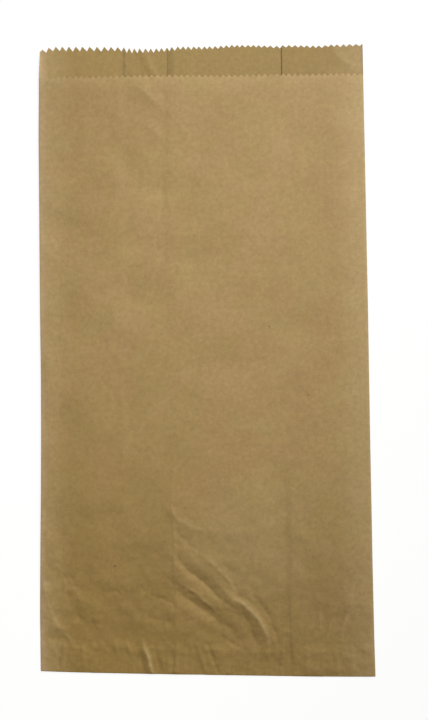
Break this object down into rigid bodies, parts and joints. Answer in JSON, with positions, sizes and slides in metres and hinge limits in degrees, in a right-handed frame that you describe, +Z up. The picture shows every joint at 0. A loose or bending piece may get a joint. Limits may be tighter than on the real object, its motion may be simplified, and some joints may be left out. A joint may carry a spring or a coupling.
{
  "type": "paper lunch bag",
  "caption": "Flat brown kraft paper bag with side gussets, a toothed mouth cut lower at the front, and a turned-under bottom.",
  "frame": {"origin": "centre of the bag's outline, on the surface that its back lies on", "axes": "+Y along the bag towards its mouth, +X across it to the right as seen from the front, +Z up out of the front"},
  "size_m": [0.18, 0.3464, 0.007],
  "materials": {
    "kraft_paper": "unbleached brown kraft paper, matt with a faint sheen"
  },
  "bodies": {
    "root": {"paper_bag": "kraft_paper"}
  },
  "joints": []
}
